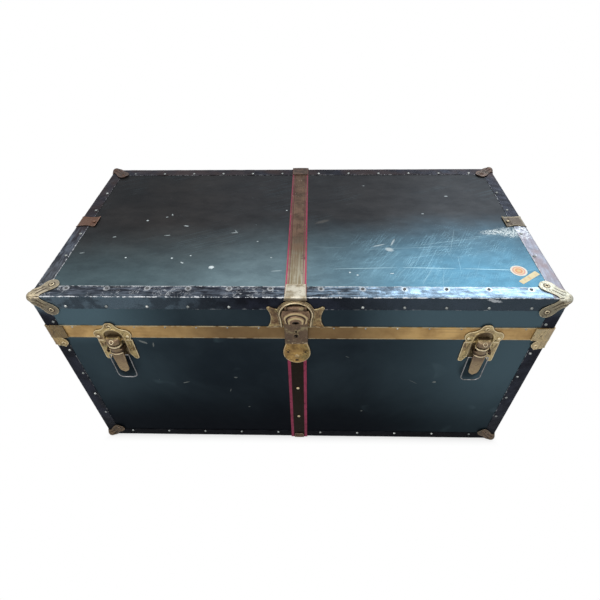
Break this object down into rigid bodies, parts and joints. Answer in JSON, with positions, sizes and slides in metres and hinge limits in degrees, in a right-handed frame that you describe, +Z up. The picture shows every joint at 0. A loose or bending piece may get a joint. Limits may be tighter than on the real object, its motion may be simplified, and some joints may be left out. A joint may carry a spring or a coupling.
{
  "type": "travelling trunk",
  "caption": "Small flat-topped trunk of enamelled sheet steel over plywood, with brass corner caps, two spring catches, a centre hasp lock and drop handles.",
  "frame": {"origin": "on the floor under the middle of the whole trunk's box", "axes": "+X right along the trunk's length, -Y the front with the lock, +Z up"},
  "size_m": [0.7784, 0.4018, 0.3838],
  "materials": {
    "blue_enamel": "worn gloss enamel on sheet steel",
    "plywood": "bare plywood",
    "lining_paper": "aged lining paper",
    "dark_binding": "worn black-blue enamel",
    "tan_band": "satin tan paint",
    "striped_strap": "printed strip with two pink stripes",
    "nail_steel": "dull plated",
    "steel_wire": "drawn wire",
    "dark_steel": "blackened",
    "aged_brass": "tarnished brass plate"
  },
  "bodies": {
    "case": {"case_front_board": "plywood", "case_back_board": "plywood", "case_left_board": "plywood", "case_right_board": "plywood", "case_bottom_board": "plywood", "case_sheet": "blue_enamel", "case_lining": "lining_paper", "case_rim": "plywood", "case_bottom_binding": "dark_binding", "case_corner_binding": "dark_binding", "case_corner_caps": "aged_brass", "rim_corner_clamps": "aged_brass", "front_strap": "striped_strap", "back_strap": "striped_strap", "strap_bottom_clip": "steel_wire", "case_hinge_leaves": "dark_steel", "hinge_pins": "dark_steel", "left_catch_base": "aged_brass", "right_catch_base": "aged_brass", "catch_pins": "aged_brass", "lock_keeper": "aged_brass", "left_handle_plate": "dark_steel", "right_handle_plate": "dark_steel", "case_nails": "nail_steel", "case_rivets": "aged_brass"},
    "lid": {"lid_top_board": "plywood", "lid_front_board": "plywood", "lid_back_board": "plywood", "lid_left_board": "plywood", "lid_right_board": "plywood", "lid_top_sheet": "blue_enamel", "lid_wall_sheet": "blue_enamel", "lid_lining": "lining_paper", "lid_edge_binding": "dark_binding", "lid_corner_binding": "dark_binding", "lid_band": "tan_band", "lid_corner_caps": "aged_brass", "band_corner_clamps": "aged_brass", "edge_clamps": "aged_brass", "lid_strap": "striped_strap", "strap_front_clamp": "aged_brass", "strap_back_clamp": "aged_brass", "lid_hinge_leaves": "dark_steel", "left_strike": "aged_brass", "right_strike": "aged_brass", "lock_plate": "aged_brass", "hasp_pin": "aged_brass", "lid_nails": "nail_steel", "lid_rivets": "aged_brass", "band_pins": "nail_steel"},
    "hasp": {"lock_hasp": "aged_brass"},
    "key_plug": {"lock_plug": "aged_brass"},
    "left_lever": {"left_catch_lever": "aged_brass"},
    "right_lever": {"right_catch_lever": "aged_brass"},
    "left_bail": {"left_catch_bail": "steel_wire"},
    "right_bail": {"right_catch_bail": "steel_wire"},
    "left_drop_handle": {"left_handle": "dark_steel"},
    "right_drop_handle": {"right_handle": "dark_steel"}
  },
  "joints": [
    {"name": "lid_hinge", "type": "hinge", "parent": "case", "child": "lid", "pos_m": [0, 0.1967, 0.294], "axis": [-1, 0, 0], "range_deg": [0, 105]},
    {"name": "hasp_swing", "type": "hinge", "parent": "lid", "child": "hasp", "pos_m": [0, -0.1917, 0.3635], "axis": [-1, 0, 0], "range_deg": [0, 100]},
    {"name": "key_turn", "type": "hinge", "parent": "hasp", "child": "key_plug", "pos_m": [0, -0.1895, 0.307], "axis": [0, -1, 0], "range_deg": [0, 90]},
    {"name": "left_catch_swing", "type": "hinge", "parent": "case", "child": "left_lever", "pos_m": [-0.281, -0.1964, 0.277], "axis": [-1, 0, 0], "range_deg": [0, 115]},
    {"name": "left_bail_swing", "type": "hinge", "parent": "left_lever", "child": "left_bail", "pos_m": [-0.281, -0.1949, 0.262], "axis": [-1, 0, 0], "range_deg": [0, 60]},
    {"name": "left_handle_swing", "type": "hinge", "parent": "case", "child": "left_drop_handle", "pos_m": [-0.384, 0.0024, 0.185], "axis": [0, 1, 0], "range_deg": [0, 95]},
    {"name": "right_catch_swing", "type": "hinge", "parent": "case", "child": "right_lever", "pos_m": [0.281, -0.1964, 0.277], "axis": [-1, 0, 0], "range_deg": [0, 115]},
    {"name": "right_bail_swing", "type": "hinge", "parent": "right_lever", "child": "right_bail", "pos_m": [0.281, -0.1949, 0.262], "axis": [-1, 0, 0], "range_deg": [0, 60]},
    {"name": "right_handle_swing", "type": "hinge", "parent": "case", "child": "right_drop_handle", "pos_m": [0.384, 0.0024, 0.185], "axis": [0, -1, 0], "range_deg": [0, 95]}
  ]
}
